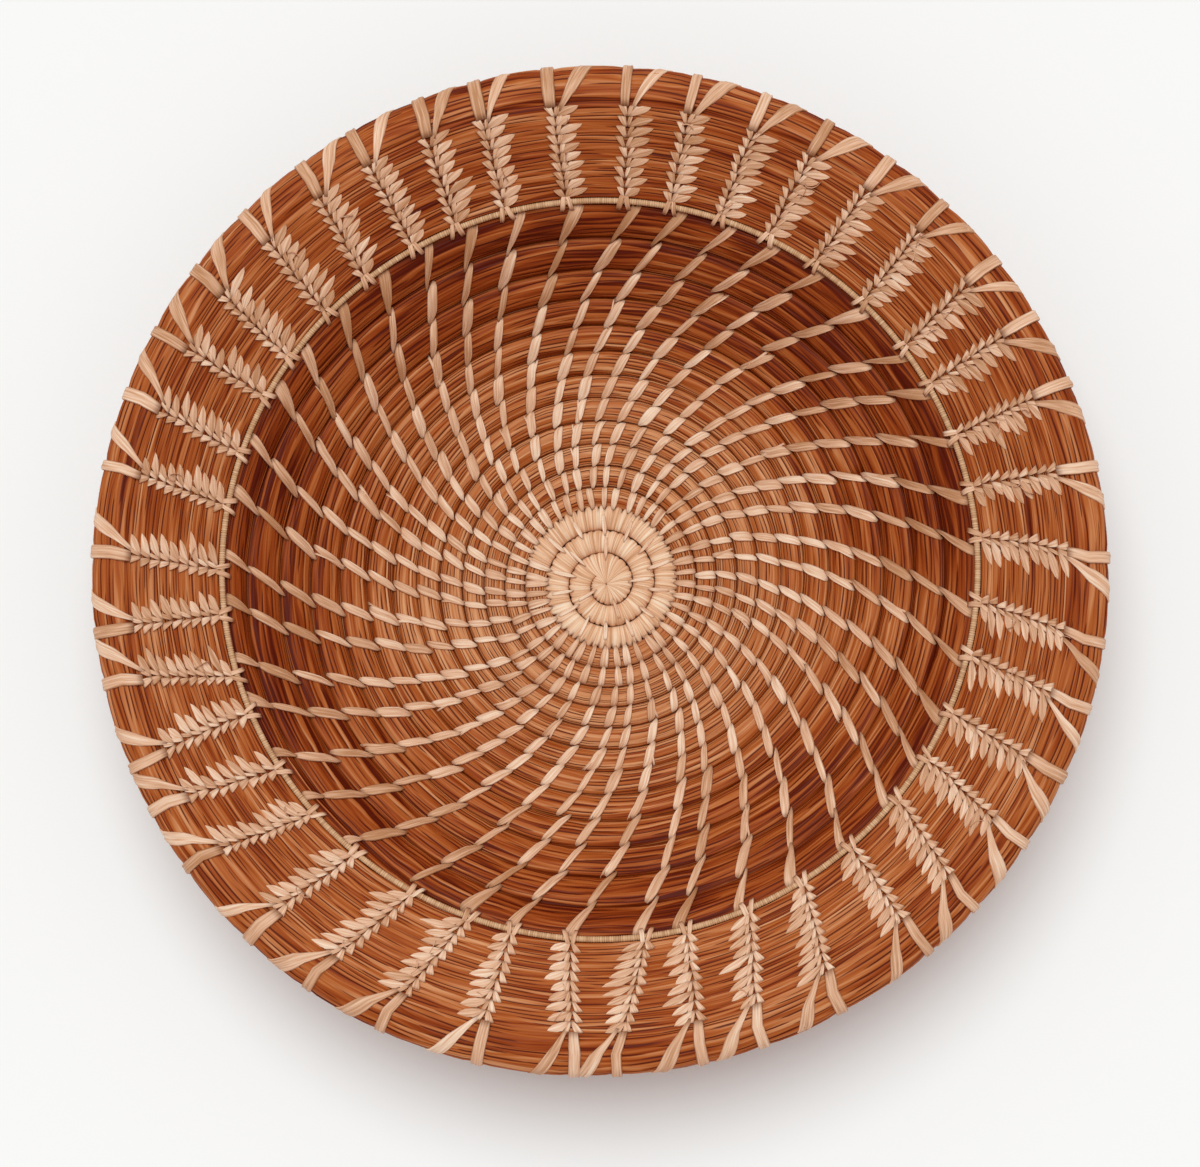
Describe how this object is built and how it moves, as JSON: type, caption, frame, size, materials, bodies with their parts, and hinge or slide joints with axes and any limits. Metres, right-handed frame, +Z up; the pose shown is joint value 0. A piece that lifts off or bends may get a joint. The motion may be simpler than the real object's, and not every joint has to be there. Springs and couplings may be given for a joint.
{
  "type": "coiled nesting basket",
  "caption": "Shallow round coiled basket of needle bundles with a wrapped centre, swirling raffia stitches and a broad fern-stitched rim; it rests flat and holds small things.",
  "frame": {"origin": "middle of the underside: the point on the table below the centre of the rim's outer edge", "axes": "+Z up out of the bowl, square to the flat underside; +Y is the top of the basket as it is shown, +X its right"},
  "size_m": [0.269, 0.269, 0.0495],
  "materials": {
    "needles": "satin, long parallel pine needles",
    "wrapping": "matt, raffia wound close",
    "raffia": "satin, flat raffia strands"
  },
  "bodies": {
    "root": {"wrapped_centre_coil": "wrapping", "floor_coil": "needles", "lower_wall_coil": "needles", "upper_wall_coil": "needles", "wrapped_cord": "wrapping", "rim_band": "needles", "stitch_line_01": "raffia", "stitch_line_02": "raffia", "stitch_line_03": "raffia", "stitch_line_04": "raffia", "stitch_line_05": "raffia", "stitch_line_06": "raffia", "stitch_line_07": "raffia", "stitch_line_08": "raffia", "stitch_line_09": "raffia", "stitch_line_10": "raffia", "stitch_line_11": "raffia", "stitch_line_12": "raffia", "stitch_line_13": "raffia", "stitch_line_14": "raffia", "stitch_line_15": "raffia", "stitch_line_16": "raffia", "stitch_line_17": "raffia", "stitch_line_18": "raffia", "stitch_line_19": "raffia", "stitch_line_20": "raffia", "stitch_line_21": "raffia", "stitch_line_22": "raffia", "stitch_line_23": "raffia", "stitch_line_24": "raffia", "stitch_line_25": "raffia", "stitch_line_26": "raffia", "stitch_line_27": "raffia", "stitch_line_28": "raffia", "stitch_line_29": "raffia", "stitch_line_30": "raffia", "stitch_line_31": "raffia", "stitch_line_32": "raffia", "stitch_line_33": "raffia", "stitch_line_34": "raffia", "stitch_line_35": "raffia", "stitch_line_36": "raffia", "stitch_line_37": "raffia", "stitch_line_38": "raffia", "stitch_line_39": "raffia", "stitch_line_40": "raffia", "stitch_line_41": "raffia", "stitch_line_42": "raffia"}
  },
  "joints": []
}
